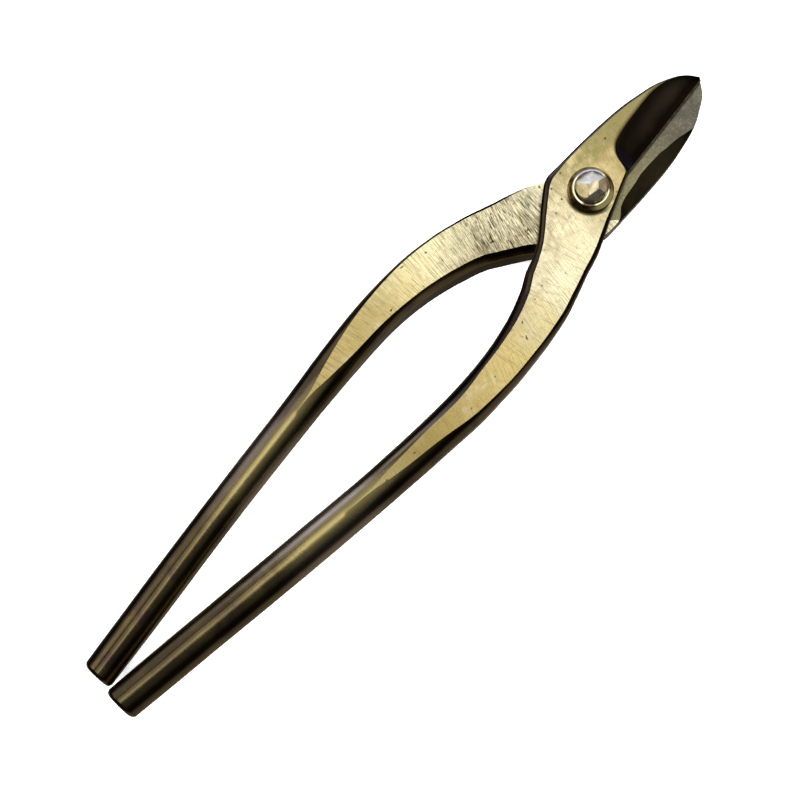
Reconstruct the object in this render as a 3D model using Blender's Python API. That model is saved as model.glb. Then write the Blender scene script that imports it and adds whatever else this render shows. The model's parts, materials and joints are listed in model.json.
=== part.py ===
# Tin snips: two forged levers that cross at a riveted pivot.
# Metres, +Z up. The origin is on the pivot axis, in the small flat on the back
# of the rivet that the tool rests on. +X runs to the blade tips, +Z to the side
# with the faceted rivet head, +Y to the side of the front blade.
# Both levers are one forging: the rear one is turned half a turn about X.

import math

import bmesh
import bpy
from mathutils import Matrix, Vector

# Driving dimensions of the levers
handle_length = 0.1937        # pivot axis to the rod ends
blade_length = 0.0462         # pivot axis to the blade tips
rod_diameter = 0.0108         # round grip rods
bow_offset = 0.0182           # tool axis to the bar's centre line at the bow
crossing_reach = 0.0263       # pivot axis back to where the levers part
crossing_offset = 0.0106      # centre line's offset there
crossing_width = 0.0172       # bar's width there
head_half_width = 0.0118      # pivot axis to the spine
head_thickness = 0.00685      # one lever at the pivot
heel_place = 0.0119           # pivot axis forward to the cutting edge's heel
heel_overlap = 0.0039         # how far the closed heel lies past the tool axis
tip_width = 0.0005
end_rounding = 0.0008         # rounded edge of the rod ends

# Hard steel that is let into each blade, and the ground edge
steel_thickness = 0.0020
steel_tail_radius = 0.0073    # the steel's end behind the pivot
steel_shoulder = 0.0089       # its corner beside the pivot
steel_shoulder_back = 0.0007  # that corner's place behind the pivot
steel_step = 0.0009           # where its border steps in to that corner
steel_back = 0.0011           # its reach behind the pivot on the edge side
edge_lip = 0.0006             # softer iron left in the steep edge bevel
edge_lean = 0.0006            # the edge bevel's width, seen from above
tip_cover = 0.0011            # softer iron over the steel at the tip

# Rivet and washers
shank_radius = 0.0036
rivet_head_radius = 0.00445
front_head_rim = 0.0009       # upright rim under the faceted dome
front_dome_height = 0.0024
front_facet_height = 0.0023   # the filed facets start this high on the dome
rear_head_rim = 0.0005
rear_dome_height = 0.0014
rest_flat_radius = 0.0026     # flat on the back of the rivet
front_top_radius = 0.0013     # where the front dome's curve ends
washer_radius = 0.00625
washer_rim_outer = 0.00535
washer_rim_inner = 0.00487
front_washer_height = 0.0027
rear_washer_height = 0.0017
washer_floor = 0.0011

# Clearances
lever_gap = 0.0003            # between the levers' inner faces
rod_gap = 0.0003              # between the rod ends when closed
seam_gap = 0.0002             # round the steel in its pocket
seat_gap = 0.0002             # under the washers and the rivet heads
running_gap = 0.0001          # shank to bores
cut_overrun = 0.002           # cutters run past what they cut

# Shapes as shares of those sizes
# How far back, then the centre line's way out to the bow and the added width
handle_shares = (
    (0.000, None, 1.000),
    (0.034, 0.600, 0.800),
    (0.100, 0.840, 0.540),
    (0.172, 0.970, 0.360),
    (0.238, 1.000, 0.250),
    (0.340, 0.930, 0.125),
    (0.508, 0.717, 0.000),
    (0.682, 0.480, 0.000),
    (0.850, 0.225, 0.000),
    (1.000, 0.000, 0.000),
)
# Spine-side point and edge-side point of each section at the crossing, back
# along the crossing's reach and out along the head's half width
crossing_shares = (
    (0.00, -0.973, -0.110, -0.760, -1.445),
    (0.14, -0.829, 0.045, -0.646, -1.335),
    (0.28, -0.669, 0.280, -0.517, -1.235),
    (0.42, -0.510, 0.526, -0.388, -1.130),
    (0.56, -0.365, 0.760, -0.274, -1.028),
    (0.70, -0.251, 0.930, -0.183, -0.938),
    (0.82, -0.167, 0.985, -0.114, -0.862),
    (1.00, -0.020, 0.986, -0.008, -0.757),
)
# Forward along the blade, then the spine's distance from the tool axis
spine_shares = (
    (0.000, 0.986),
    (0.082, 0.988),
    (0.165, 0.983),
    (0.270, 0.968),
    (0.400, 0.940),
    (0.530, 0.889),
    (0.640, 0.808),
    (0.768, 0.673),
    (0.898, 0.433),
    (0.958, 0.243),
    (1.000, 0.000),
)
# Forward to the heel, then the edge side's distance from the tool axis
throat_shares = (
    (0.00, 0.757),
    (0.30, 0.625),
    (0.60, 0.495),
    (0.84, 0.402),
)
# Back along the handle: width and drop of the bevels on the face's outer and
# inner side and on the underside's inner and outer side, then their roundness
bar_bevel_shares = (
    (0.000, 0.050, 0.160, 0.050, 0.120, 0.040, 0.080, 0.000, 0.000, 0.00),
    (0.080, 0.070, 0.180, 0.100, 0.200, 0.050, 0.080, 0.040, 0.080, 0.00),
    (0.136, 0.090, 0.210, 0.170, 0.300, 0.140, 0.160, 0.080, 0.160, 0.15),
    (0.166, 0.100, 0.220, 0.180, 0.320, 0.200, 0.280, 0.100, 0.220, 0.20),
    (0.223, 0.120, 0.260, 0.200, 0.330, 0.230, 0.330, 0.120, 0.260, 0.25),
    (0.285, 0.155, 0.300, 0.220, 0.340, 0.240, 0.340, 0.150, 0.280, 0.35),
    (0.342, 0.210, 0.340, 0.230, 0.360, 0.250, 0.360, 0.180, 0.300, 0.45),
    (0.400, 0.270, 0.380, 0.250, 0.380, 0.270, 0.380, 0.240, 0.340, 0.60),
    (0.456, 0.380, 0.420, 0.310, 0.420, 0.340, 0.420, 0.350, 0.400, 0.80),
    (0.503, 0.560, 0.480, 0.440, 0.480, 0.500, 0.480, 0.500, 0.480, 0.95),
    (0.550, 0.500, 0.500, 0.500, 0.500, 0.500, 0.500, 0.500, 0.500, 1.00),
    (1.000, 0.500, 0.500, 0.500, 0.500, 0.500, 0.500, 0.500, 0.500, 1.00),
)
# Forward along the blade: width of the scoop or edge bevel, width and drop of
# the spine's bevel on the face, the same on the inner face, how far it is scoop
blade_bevel_shares = (
    (0.000, 0.050, 0.050, 0.120, 0.040, 0.080, 0.00),
    (0.026, 0.050, 0.045, 0.120, 0.070, 0.080, 0.00),
    (0.090, 0.050, 0.045, 0.120, 0.170, 0.140, 0.00),
    (0.150, 0.055, 0.045, 0.120, 0.220, 0.180, 0.00),
    (0.230, 0.060, 0.045, 0.120, 0.270, 0.220, 0.00),
    (0.246, 0.100, 0.045, 0.120, 0.275, 0.220, 0.15),
    (0.258, 0.210, 0.045, 0.120, 0.280, 0.220, 0.60),
    (0.278, 0.340, 0.045, 0.120, 0.300, 0.220, 1.00),
    (0.328, 0.490, 0.045, 0.120, 0.330, 0.220, 1.00),
    (0.400, 0.560, 0.045, 0.120, 0.360, 0.220, 1.00),
    (0.560, 0.675, 0.050, 0.120, 0.350, 0.220, 1.00),
    (0.660, 0.763, 0.055, 0.130, 0.250, 0.200, 1.00),
    (0.787, 0.856, 0.060, 0.140, 0.100, 0.140, 1.00),
    (0.860, 0.895, 0.070, 0.150, 0.060, 0.100, 1.00),
    (1.000, 0.895, 0.080, 0.150, 0.060, 0.080, 1.00),
)
# Back along the handle: the face's fall from the head to the rods
face_fall_shares = ((0.00, 0.0), (0.045, 0.0), (0.503, 1.0), (1.0, 1.0))
# Back along the handle: the underside's fall to the bottom of the rods
under_fall_shares = (
    (0.000, 0.00),
    (0.122, 0.00),
    (0.150, 0.10),
    (0.175, 0.27),
    (0.223, 0.62),
    (0.285, 0.89),
    (0.342, 0.99),
    (0.400, 1.00),
    (1.000, 1.00),
)
# Forward along the blade: the face's fall from the head to the tip
tip_fall_shares = ((0.00, 0.0), (0.27, 0.0), (0.56, 0.25), (1.00, 1.0))
# Sections: forward along the blade, and back along the handle past the crossing
blade_section_shares = (
    0.082, 0.165, 0.230, 0.246, 0.258, 0.268, 0.278, 0.300, 0.328, 0.400,
    0.480, 0.560, 0.640, 0.714, 0.787, 0.850, 0.900, 0.940, 0.970, 0.990, 1.0,
)
handle_section_shares = (
    0.000, 0.034, 0.067, 0.100, 0.136, 0.172, 0.205, 0.238, 0.272, 0.306,
    0.340, 0.370, 0.398, 0.425, 0.453, 0.508, 0.595, 0.682, 0.766, 0.850, 0.925,
)
crossing_section_shares = (0.0, 0.14, 0.28, 0.42, 0.56, 0.63, 0.70, 0.76, 0.82, 1.0)
hollow_share = 0.6            # how deep the scoop's curve is, of a quarter round
lean_limit_share = 0.5        # most of a narrow tip that the edge bevel takes
probe_share = 0.001           # step for the centre line's direction
under_high_column = 4         # where bevels() gives the inner face's spine bevel
scooped_column = 9            # and how far the edge side is scoop

# Where the rivet's filed facets lie: turn about the axis, place on the radius
facet_turns_deg = (134.0, 79.0, 30.0, 306.0, 254.0)
facet_place_shares = (0.25, 0.14, 0.21, 0.38, 0.41)
facet_slope_deg = 32.0
# Shoulder of a washer: way in to the rim, and height
washer_shoulder_shares = ((0.0, 0.18), (0.22, 0.42), (0.58, 0.66), (0.90, 0.86))
rim_round_share = 0.35        # of the rim's width

tail_first_deg = 102.0        # the round tail of the steel starts and ends here
tail_last_deg = 242.0
sharp_deg = 28.0              # edges steeper than this stay crisp

corner_steps = 6              # faces round one corner of a section
end_steps = 3                 # rings that round a rod's end over
tail_steps = 12
round_segments = 44
bore_segments = 44
dome_steps = 5

# Derived sizes
rod_radius = rod_diameter / 2
end_offset = rod_radius + rod_gap / 2
half_gap = lever_gap / 2
face_height = half_gap + head_thickness
edge_rise = steel_thickness + seam_gap + edge_lip
tip_height = half_gap + edge_rise + tip_cover
bore_radius = shank_radius + running_gap
front_seat = face_height + seat_gap
front_head_base = front_seat + washer_floor + seat_gap
rear_head_base = front_head_base
rest_depth = rear_head_base + rear_head_rim + rear_dome_height
weld_distance = 0.000001


def mix(first, last, share):
    return first + (last - first) * share


def tangent(rows, index, column):
    # The slope through a row, held back so that a curve never overshoots
    if index == 0 or index == len(rows) - 1:
        return None
    before, here, after = rows[index - 1], rows[index], rows[index + 1]
    slope_in = (here[column] - before[column]) / (here[0] - before[0])
    slope_out = (after[column] - here[column]) / (after[0] - here[0])
    if slope_in * slope_out <= 0:
        return 0.0
    return 2 * slope_in * slope_out / (slope_in + slope_out)


def follow(rows, place):
    # A smooth curve through the rows of a table, for every column after the first
    place = min(max(place, rows[0][0]), rows[-1][0])
    index = 0
    while index < len(rows) - 2 and place > rows[index + 1][0]:
        index += 1
    low, high = rows[index], rows[index + 1]
    span = high[0] - low[0]
    t = (place - low[0]) / span
    values = []
    for column in range(1, len(low)):
        chord = (high[column] - low[column]) / span
        start = tangent(rows, index, column)
        finish = tangent(rows, index + 1, column)
        start = chord if start is None else start
        finish = chord if finish is None else finish
        values.append(
            low[column] * (2 * t**3 - 3 * t**2 + 1)
            + start * span * (t**3 - 2 * t**2 + t)
            + high[column] * (3 * t**2 - 2 * t**3)
            + finish * span * (t**3 - t**2)
        )
    return values


def straight(rows, place):
    # Straight runs between the rows of a two-column table
    for low, high in zip(rows, rows[1:]):
        if place <= high[0]:
            return mix(low[1], high[1], (place - low[0]) / (high[0] - low[0]))
    return rows[-1][1]


def handle_rows():
    # The first row takes its offset from the crossing's own size
    crossing_share = (crossing_offset - end_offset) / (bow_offset - end_offset)
    first = handle_shares[0]
    return ((first[0], crossing_share, first[2]),) + handle_shares[1:]


def centre_line(share):
    # A point of the handle's centre line, and the bar's width there
    out_share, width_share = follow(handle_rows(), share)
    back = mix(crossing_reach, handle_length, share)
    offset = mix(end_offset, bow_offset, out_share)
    width = mix(rod_diameter, crossing_width, width_share)
    return Vector((-back, -offset)), width


def handle_sides(share):
    # The bar's two sides, square to its centre line
    centre, width = centre_line(share)
    ahead = centre_line(max(share - probe_share, 0))[0]
    behind = centre_line(min(share + probe_share, 1))[0]
    along = (ahead - behind).normalized()
    across = Vector((-along.y, along.x)) * width / 2
    return centre + across, centre - across


def crossing_sides(share):
    high_x, high_y, low_x, low_y = follow(crossing_shares, share)
    high = Vector((high_x * crossing_reach, high_y * head_half_width))
    low = Vector((low_x * crossing_reach, low_y * head_half_width))
    return high, low


def spine_y(place):
    share = follow(spine_shares, place / blade_length)[0]
    return mix(tip_width, head_half_width, share)


def edge_y(place):
    # The edge side: a curved throat to the heel, then the straight cutting edge
    if place >= heel_place:
        return mix(-heel_overlap, 0, (place - heel_place) / (blade_length - heel_place))
    rows = [(place_share, y_share * head_half_width) for place_share, y_share in throat_shares]
    rows.append((1.0, heel_overlap))
    return -follow(rows, place / heel_place)[0]


def blade_sides(place):
    return Vector((place, spine_y(place))), Vector((place, edge_y(place)))


def level(place):
    # Heights of a lever's face and underside at a place along the tool axis
    if place >= 0:
        share = straight(tip_fall_shares, place / blade_length)
        return mix(face_height, tip_height, share), half_gap
    back_share = -place / handle_length
    face = mix(face_height, rod_radius, straight(face_fall_shares, back_share))
    under = mix(half_gap, -rod_radius, follow(under_fall_shares, back_share)[0])
    return face, under


def corner(face_point, side_point, roundness):
    # From a point on a flat to one on a side: bulging, straight or hollow
    points = []
    for step in range(corner_steps + 1):
        turn = math.pi / 2 * step / corner_steps
        direct = face_point.lerp(side_point, step / corner_steps)
        if roundness >= 0:
            bent = Vector((
                mix(face_point.x, side_point.x, math.sin(turn)),
                mix(side_point.y, face_point.y, math.cos(turn)),
            ))
        else:
            bent = Vector((
                mix(side_point.x, face_point.x, math.cos(turn)),
                mix(face_point.y, side_point.y, math.sin(turn)),
            ))
        points.append(direct.lerp(bent, abs(roundness)))
    return points


def bevels(place):
    # Each corner's width and drop as shares of the section, and its roundness
    if place >= 0:
        scoop, top_width, top_drop, under_width, under_drop, scooped = follow(
            blade_bevel_shares, place / blade_length
        )
        edge_drop = bar_bevel_shares[0][2]
        return scoop, edge_drop, top_width, top_drop, under_width, under_drop, 0, 0, 0, scooped
    return (*follow(bar_bevel_shares, -place / handle_length), 0)


def section(high, low):
    # One closed ring of a lever, from its spine-side and edge-side points
    place = (high.x + low.x) / 2
    face, under = level(place)
    depth = face - under
    width = (high - low).length
    (face_low_width, face_low_drop, face_high_width, face_high_drop,
     under_high_width, under_high_drop, under_low_width, under_low_drop,
     roundness, scooped) = bevels(place)
    scoop_drop = (depth - edge_rise) / depth
    face_low_drop = mix(face_low_drop, scoop_drop, scooped)
    lean = min(edge_lean / width, lean_limit_share) * scooped
    outline = corner(
        Vector((1 - face_high_width, face)),
        Vector((1, face - face_high_drop * depth)), roundness
    )
    outline += reversed(corner(
        Vector((1 - under_high_width, under)),
        Vector((1, under + under_high_drop * depth)), roundness
    ))
    outline += corner(
        Vector((under_low_width, under)),
        Vector((0, under + under_low_drop * depth)), roundness
    )
    outline += reversed(corner(
        Vector((face_low_width, face)),
        Vector((lean, face - face_low_drop * depth)), mix(roundness, -hollow_share, scooped)
    ))
    ring = []
    for point in outline:
        across = low.lerp(high, point.x)
        ring.append(Vector((across.x, across.y, point.y)))
    return ring


def shrunk(ring, inset, along):
    # The same ring drawn in by an inset and moved along the rod
    centre = sum(ring, Vector()) / len(ring)
    scale = (rod_radius - inset) / rod_radius
    return [centre + (point - centre) * scale + along for point in ring]


def rod_end_rings():
    # Rings that round the end of the rod over, square to its axis
    high, low = handle_sides(1.0)
    ring = section(high, low)
    across = (high - low).normalized()
    inward = Vector((across.y, -across.x, 0))
    rings = []
    for step in range(end_steps + 1):
        turn = math.pi / 2 * step / end_steps
        inset = end_rounding * (1 - math.sin(turn))
        rings.append(shrunk(ring, inset, inward * end_rounding * (1 - math.cos(turn))))
    return rings


def lever_rings():
    rings = rod_end_rings()
    for share in reversed(handle_section_shares):
        rings.append(section(*handle_sides(share)))
    for share in crossing_section_shares:
        rings.append(section(*crossing_sides(share)))
    for share in blade_section_shares:
        rings.append(section(*blade_sides(share * blade_length)))
    return rings


def loft(name, rings):
    # One closed skin over a row of rings with as many points each
    mesh = bpy.data.meshes.new(name)
    skin = bmesh.new()
    rows = [[skin.verts.new(point) for point in ring] for ring in rings]
    for row, next_row in zip(rows, rows[1:]):
        for index in range(len(row)):
            after = (index + 1) % len(row)
            skin.faces.new((row[index], row[after], next_row[after], next_row[index]))
    skin.faces.new(rows[0])
    skin.faces.new(rows[-1])
    bmesh.ops.remove_doubles(skin, verts=skin.verts, dist=weld_distance)
    bmesh.ops.recalc_face_normals(skin, faces=skin.faces)
    skin.to_mesh(mesh)
    skin.free()
    return mesh


def steel_border(place):
    # The steel's border towards the spine, where the inner face's bevel starts
    high, low = blade_sides(place)
    return mix(high.y, low.y, bevels(place)[under_high_column])


def steel_sides(grow, reach):
    # The steel's outline seen from above: edge side from the tail to the tip,
    # then the border back to the shoulder and round the tail
    edge = []
    start = -steel_back - grow
    edge.append((start, crossing_edge_y() - reach))
    for share in (0.0, *blade_section_shares):
        place = share * blade_length
        edge.append((place, edge_y(place) - reach))
    tip_x, tip_y = edge[-1]
    edge[-1] = (tip_x + reach, tip_y)
    border = [(tip_x + reach, steel_border(tip_x) + grow)]
    for share in reversed(blade_section_shares[:-1]):
        place = share * blade_length
        border.append((place, steel_border(place) + grow))
    border.append((steel_step, steel_border(steel_step) + grow))
    tail = [(-steel_shoulder_back - grow / 2, steel_shoulder + grow)]
    for step in range(tail_steps + 1):
        turn = math.radians(mix(tail_first_deg, tail_last_deg, step / tail_steps))
        radius = steel_tail_radius + grow
        tail.append((radius * math.cos(turn), radius * math.sin(turn)))
    return edge, border + tail


def crossing_edge_y():
    # The edge side's height where the steel ends behind the pivot
    first, last = crossing_sides(crossing_shares[-2][0])[1], crossing_sides(1.0)[1]
    share = (-steel_back - last.x) / (first.x - last.x)
    return mix(last.y, first.y, share)


def plate_mesh(name, lower, upper, bottom, top):
    # A flat piece between two outlines with as many points each
    rings = [[Vector((x, y, bottom)) for x, y in lower], [Vector((x, y, top)) for x, y in upper]]
    return loft(name, rings)


def steel_mesh():
    edge, rest = steel_sides(0, 0)
    leaned = []
    for x, y in edge:
        scooped = bevels(x)[scooped_column] if x > 0 else 0
        width = spine_y(x) - y
        lean = min(edge_lean, lean_limit_share * width) * scooped
        leaned.append((x, y + lean * steel_thickness / edge_rise))
    return plate_mesh(
        "blade_steel", edge + rest, leaned + rest, half_gap, half_gap + steel_thickness
    )


def pocket_mesh():
    edge, rest = steel_sides(seam_gap, cut_overrun)
    outline = edge + rest
    return plate_mesh(
        "steel_pocket", outline, outline,
        half_gap - cut_overrun, half_gap + steel_thickness + seam_gap
    )


def lathe(name, profile, segments, closed):
    # Turns a profile of radius and height points about Z
    mesh = bpy.data.meshes.new(name)
    body = bmesh.new()
    verts = [body.verts.new((radius, 0, height)) for radius, height in profile]
    edges = [body.edges.new(pair) for pair in zip(verts, verts[1:])]
    if closed:
        edges.append(body.edges.new((verts[-1], verts[0])))
    bmesh.ops.spin(
        body, geom=verts + edges, cent=(0, 0, 0), axis=(0, 0, 1),
        angle=2 * math.pi, steps=segments, use_merge=True
    )
    bmesh.ops.remove_doubles(body, verts=body.verts, dist=weld_distance)
    bmesh.ops.recalc_face_normals(body, faces=body.faces)
    body.to_mesh(mesh)
    body.free()
    return mesh


def washer_profile(height):
    # A dished washer: a base, a rounded shoulder, a rim and the seat inside it
    rim_round = rim_round_share * (washer_rim_outer - washer_rim_inner)
    profile = [(bore_radius, 0), (washer_radius, 0)]
    for way_in, up in washer_shoulder_shares:
        profile.append((mix(washer_radius, washer_rim_outer, way_in), height * up))
    profile.append((washer_rim_outer - rim_round, height))
    profile.append((washer_rim_inner + rim_round, height))
    profile.append((washer_rim_inner, height - rim_round))
    profile.append((washer_rim_inner, washer_floor))
    profile.append((bore_radius, washer_floor))
    return profile


def dome(base, rim, height, top_radius):
    # A head's side view from its base out and up to the edge of its top
    points = [(rivet_head_radius, base), (rivet_head_radius, base + rim)]
    full = math.acos(top_radius / rivet_head_radius)
    for step in range(1, dome_steps + 1):
        turn = full * step / dome_steps
        rise = height * math.sin(turn) / math.sin(full)
        points.append((rivet_head_radius * math.cos(turn), base + rim + rise))
    return points


def rivet_mesh():
    front = dome(front_head_base, front_head_rim, front_dome_height, front_top_radius)
    rear = dome(rear_head_base, rear_head_rim, rear_dome_height, rest_flat_radius)
    profile = [(0, -rear[-1][1])]
    profile += [(radius, -height) for radius, height in reversed(rear)]
    profile += [(shank_radius, -rear_head_base), (shank_radius, front_head_base)]
    profile += front
    profile.append((0, front[-1][1]))
    mesh = lathe("pivot_rivet", profile, round_segments, False)
    file_facets(mesh)
    return mesh


def file_facets(mesh):
    # The flats filed on the front head, each a plane that cuts the dome
    body = bmesh.new()
    body.from_mesh(mesh)
    height = front_head_base + front_head_rim + front_facet_height
    slope = math.radians(facet_slope_deg)
    planes = [(Vector((0, 0, height)), Vector((0, 0, 1)))]
    for turn_deg, place_share in zip(facet_turns_deg, facet_place_shares):
        turn = math.radians(turn_deg)
        outward = Vector((math.cos(turn), math.sin(turn), 0))
        point = outward * rivet_head_radius * place_share + Vector((0, 0, height))
        planes.append((point, outward * math.sin(slope) + Vector((0, 0, math.cos(slope)))))
    for point, normal in planes:
        geometry = list(body.verts) + list(body.edges) + list(body.faces)
        cut = bmesh.ops.bisect_plane(
            body, geom=geometry, plane_co=point, plane_no=normal,
            dist=weld_distance, clear_outer=True
        )
        edges = [item for item in cut["geom_cut"] if isinstance(item, bmesh.types.BMEdge)]
        bmesh.ops.holes_fill(body, edges=edges)
    bmesh.ops.recalc_face_normals(body, faces=body.faces)
    body.to_mesh(mesh)
    body.free()


def material(name, colour, roughness, metallic):
    finish = bpy.data.materials.new(name)
    finish.use_nodes = True
    shader = finish.node_tree.nodes["Principled BSDF"]
    shader.inputs["Base Color"].default_value = (*colour, 1)
    shader.inputs["Roughness"].default_value = roughness
    shader.inputs["Metallic"].default_value = metallic
    return finish


def add(name, mesh, parent, finish=None, smooth=True):
    piece = bpy.data.objects.new(name, mesh)
    bpy.context.collection.objects.link(piece)
    piece.parent = parent
    if finish:
        mesh.materials.append(finish)
    if smooth:
        mesh.shade_smooth()
        mesh.set_sharp_from_angle(angle=math.radians(sharp_deg))
    return piece


def pivot_empty(name, turn):
    # A lever's own frame: on the pivot axis, in the plane between the levers
    frame = bpy.data.objects.new(name, None)
    bpy.context.collection.objects.link(frame)
    frame.matrix_world = Matrix.Translation((0, 0, rest_depth)) @ Matrix.Rotation(turn, 4, "X")
    return frame


def cut(piece, cutter):
    cutter.hide_render = True
    cutter.display_type = "WIRE"
    modifier = piece.modifiers.new(cutter.name, "BOOLEAN")
    modifier.operation = "DIFFERENCE"
    modifier.solver = "EXACT"
    modifier.object = cutter


def bore_mesh():
    # A plug as long as the whole rivet
    profile = ((0, -rest_depth), (bore_radius, -rest_depth), (bore_radius, rest_depth), (0, rest_depth))
    return lathe("bore", profile, bore_segments, False)


def lever(side, turn):
    # A forging with the bore and the steel's pocket cut out, and its steel
    frame = pivot_empty(f"{side}_frame", turn)
    forged = material(f"{side}_forged_bronze", (0.42, 0.35, 0.20), 0.34, 0.9)
    hardened = material(f"{side}_hard_steel", (0.45, 0.43, 0.38), 0.3, 1.0)
    body = add(f"{side}_lever", loft(f"{side}_lever", lever_rings()), frame, forged)
    steel = add(f"{side}_blade_steel", steel_mesh(), frame, hardened)
    pocket = add(f"{side}_pocket_cutter", pocket_mesh(), frame, smooth=False)
    bore = add(f"{side}_bore_cutter", bore_mesh(), frame, smooth=False)
    cut(body, pocket)
    cut(body, bore)
    cut(steel, bore)


def washer(side, turn, height):
    finish = material(f"{side}_washer_bronze", (0.30, 0.24, 0.13), 0.3, 0.95)
    frame = pivot_empty(f"{side}_washer_frame", turn)
    mesh = lathe(f"{side}_washer", washer_profile(height), round_segments, True)
    piece = add(f"{side}_washer", mesh, frame, finish)
    piece.location.z = front_seat


def rivet():
    finish = material("rivet_bright_bronze", (0.62, 0.55, 0.40), 0.18, 1.0)
    add("pivot_rivet", rivet_mesh(), pivot_empty("rivet_frame", 0), finish)


def main():
    for item in list(bpy.data.objects):
        bpy.data.objects.remove(item, do_unlink=True)
    lever("front", 0)
    lever("rear", math.pi)
    washer("front", 0, front_washer_height)
    washer("rear", math.pi, rear_washer_height)
    rivet()


main()
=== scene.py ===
import json
import math
from contextlib import contextmanager

import bmesh
import bpy
from mathutils import Matrix, Vector

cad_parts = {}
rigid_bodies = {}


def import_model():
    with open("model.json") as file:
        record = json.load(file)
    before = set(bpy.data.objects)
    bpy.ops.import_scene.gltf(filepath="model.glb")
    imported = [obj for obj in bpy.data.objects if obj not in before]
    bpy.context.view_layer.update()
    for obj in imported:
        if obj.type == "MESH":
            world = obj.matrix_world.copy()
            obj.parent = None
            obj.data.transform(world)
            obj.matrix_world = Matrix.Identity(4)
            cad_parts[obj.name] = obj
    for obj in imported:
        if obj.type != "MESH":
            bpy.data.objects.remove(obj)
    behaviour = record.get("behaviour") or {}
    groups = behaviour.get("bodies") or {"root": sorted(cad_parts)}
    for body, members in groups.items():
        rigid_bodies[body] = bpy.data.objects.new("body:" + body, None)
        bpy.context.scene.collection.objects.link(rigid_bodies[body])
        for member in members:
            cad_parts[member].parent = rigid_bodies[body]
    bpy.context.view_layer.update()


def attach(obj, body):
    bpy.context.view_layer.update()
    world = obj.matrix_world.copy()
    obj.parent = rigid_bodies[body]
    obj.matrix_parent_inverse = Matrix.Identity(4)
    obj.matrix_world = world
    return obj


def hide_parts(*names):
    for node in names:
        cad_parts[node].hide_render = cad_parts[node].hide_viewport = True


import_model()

mm = 0.001
planeHeight = 10.4 * mm  # the plane between the two levers
weldDistance = 0.001 * mm
fineBump = 0.02 * mm


def mix(first, last, share):
    return first + (last - first) * share


def scaled(unit, rows):
    # A table written in whole parts of the unit
    return [tuple(value / unit for value in row) for row in rows]


def addNode(tree, kind, inputs=None, **settings):
    node = tree.nodes.new(kind)
    for name, value in settings.items():
        setattr(node, name, value)
    for key, value in (inputs or {}).items():
        if isinstance(value, Wire):
            tree.links.new(value.socket, node.inputs[key])
        else:
            node.inputs[key].default_value = value
    return node


def addWire(tree, kind, inputs=None, output=0, **settings):
    return Wire(tree, addNode(tree, kind, inputs, **settings).outputs[output])


def join(tree, *parts):
    return addWire(tree, "ShaderNodeCombineXYZ", dict(enumerate(parts)))


class Wire:
    # A node's output: operators and methods add the nodes that reckon with it
    def __init__(self, tree, socket):
        self.tree = tree
        self.socket = socket

    def through(self, kind, inputs=None, output=0, **settings):
        # Into the first input of a new node
        return addWire(self.tree, kind, {0: self, **(inputs or {})}, output, **settings)

    def calc(self, operation, *values):
        inputs = dict(enumerate(values, start=1))
        return self.through("ShaderNodeMath", inputs, operation=operation)

    def vector(self, operation, *values, output=0):
        inputs = dict(enumerate(values, start=1))
        return self.through("ShaderNodeVectorMath", inputs, output, operation=operation)

    def __add__(self, other):
        return self.calc("ADD", other)

    def __sub__(self, other):
        return self.calc("SUBTRACT", other)

    def __rsub__(self, other):
        return addWire(self.tree, "ShaderNodeMath", {0: other, 1: self}, operation="SUBTRACT")

    def __mul__(self, other):
        return self.calc("MULTIPLY", other)

    def __truediv__(self, other):
        return self.calc("DIVIDE", other)

    def __mod__(self, other):
        return self.calc("MODULO", other)

    def __lt__(self, other):
        return self.calc("LESS_THAN", other)

    def __gt__(self, other):
        return self.calc("GREATER_THAN", other)

    def __abs__(self):
        return self.calc("ABSOLUTE")

    def near(self, value, within=0.1):
        return self.calc("COMPARE", value, within)

    def parts(self):
        outputs = addNode(self.tree, "ShaderNodeSeparateXYZ", {0: self}).outputs
        return [Wire(self.tree, socket) for socket in outputs]

    def ramp(self, start, full, kind="SMOOTHSTEP"):
        # From 0 at the start to 1 where it is full
        inputs = {1: start, 2: full}
        return self.through("ShaderNodeMapRange", inputs, interpolation_type=kind)

    def blend(self, first, last, kind="RGBA"):
        # The first value where the wire is 0, the last where it is 1
        place, output = {"FLOAT": (2, 0), "VECTOR": (4, 1), "RGBA": (6, 2)}[kind]
        first, last = [(*value, 1) if isinstance(value, tuple) else value for value in (first, last)]
        return self.through("ShaderNodeMix", {place: first, place + 1: last}, output, data_type=kind)

    def noise(self, scale, detail=3.0, roughness=0.55):
        # Features of about one over the scale, in metres, which may differ by axis
        size = scale if isinstance(scale, tuple) else (scale, scale, scale)
        inputs = {"Vector": self.vector("MULTIPLY", size), "Scale": 1.0}
        inputs.update(Detail=detail, Roughness=roughness)
        return addWire(self.tree, "ShaderNodeTexNoise", inputs)


def linkObject(name, data):
    thing = bpy.data.objects.new(name, data)
    bpy.context.scene.collection.objects.link(thing)
    return thing


def bakeDown(thing, name):
    # The object as its modifiers leave it, as a plain mesh; the source goes
    bpy.context.view_layer.update()
    ready = thing.evaluated_get(bpy.context.evaluated_depsgraph_get())
    mesh = bpy.data.meshes.new_from_object(ready)
    mesh.name = name
    bpy.data.objects.remove(thing)
    return mesh


@contextmanager
def reworked(mesh):
    # Opens a mesh for editing, and writes it back at the end
    body = bmesh.new()
    body.from_mesh(mesh)
    yield body
    body.to_mesh(mesh)
    body.free()


def closeAndTurnOut(mesh):
    # Merges doubles and turns every face outwards
    with reworked(mesh) as body:
        bmesh.ops.remove_doubles(body, verts=body.verts, dist=weldDistance)
        bmesh.ops.recalc_face_normals(body, faces=body.faces)


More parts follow.
